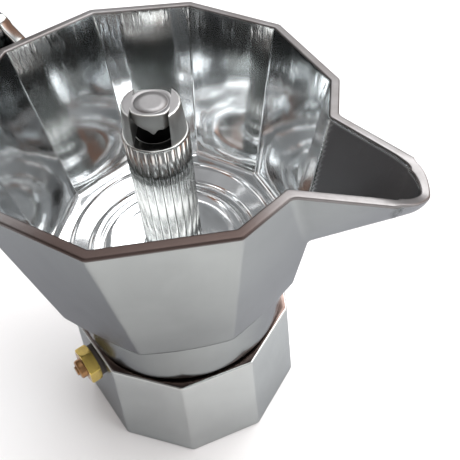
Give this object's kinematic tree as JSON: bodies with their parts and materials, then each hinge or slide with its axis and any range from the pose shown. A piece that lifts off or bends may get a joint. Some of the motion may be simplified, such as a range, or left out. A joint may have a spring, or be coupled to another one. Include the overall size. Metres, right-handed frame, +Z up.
{
  "type": "moka pot",
  "caption": "Faceted cast aluminium stovetop coffee maker: screwed boiler and chamber, spout, safety valve, hinged lid and side handle.",
  "frame": {"origin": "centre of the boiler's base, on the surface it stands on", "axes": "+Z up, +X towards the spout, the handle and the lid's hinge towards -X"},
  "size_m": [0.1438, 0.0758, 0.204],
  "materials": {
    "cast_aluminium": "satin, brushed outside and polished inside",
    "sheet_aluminium": "bright pressed sheet",
    "brass": "turned, lightly tarnished",
    "steel": "bright drawn steel",
    "silicone": "matt moulded",
    "seal_fibre": "matt dark seal",
    "black_plastic": "moulded, soft gloss"
  },
  "bodies": {
    "boiler": {"boiler": "cast_aluminium", "valve_washer": "seal_fibre", "valve_body": "brass", "valve_seat": "brass", "valve_spring": "steel"},
    "valve_stem": {"valve_stem": "brass"},
    "basket": {"basket": "sheet_aluminium", "basket_stem": "sheet_aluminium", "strainer_disc": "sheet_aluminium"},
    "chamber": {"upper_chamber": "cast_aluminium", "column_plug": "cast_aluminium", "gasket": "silicone", "filter_plate": "sheet_aluminium", "handle": "black_plastic", "handle_pin": "steel", "hinge_pin": "steel"},
    "lid": {"lid": "cast_aluminium", "knob": "black_plastic", "knob_insert": "brass", "knob_screw": "steel", "knob_washer": "sheet_aluminium"}
  },
  "joints": [
    {"name": "valve_lift", "type": "slide", "parent": "boiler", "child": "valve_stem", "axis": [-0.4073, -0.9064, 0.1121], "range_m": [0, 0.0015], "stiffness_N_per_m": 900, "springref_m": -0.002, "deforming": ["valve_spring"]},
    {"name": "basket_lift", "type": "slide", "parent": "boiler", "child": "basket", "axis": [0, 0, 1], "range_m": [0, 0.0105]},
    {"name": "chamber_turn", "type": "hinge", "parent": "basket", "child": "chamber", "pos_m": [0, 0, 0], "axis": [0, 0, 1], "range_deg": [0, 1260]},
    {"name": "lid_hinge", "type": "hinge", "parent": "chamber", "child": "lid", "pos_m": [-0.0432, 0, 0.1142], "axis": [0, 1, 0], "range_deg": [0, 112]}
  ],
  "couplings": [
    {"joint": "basket_lift", "follows": "chamber_turn", "m_per_rad": 0.00047746}
  ]
}
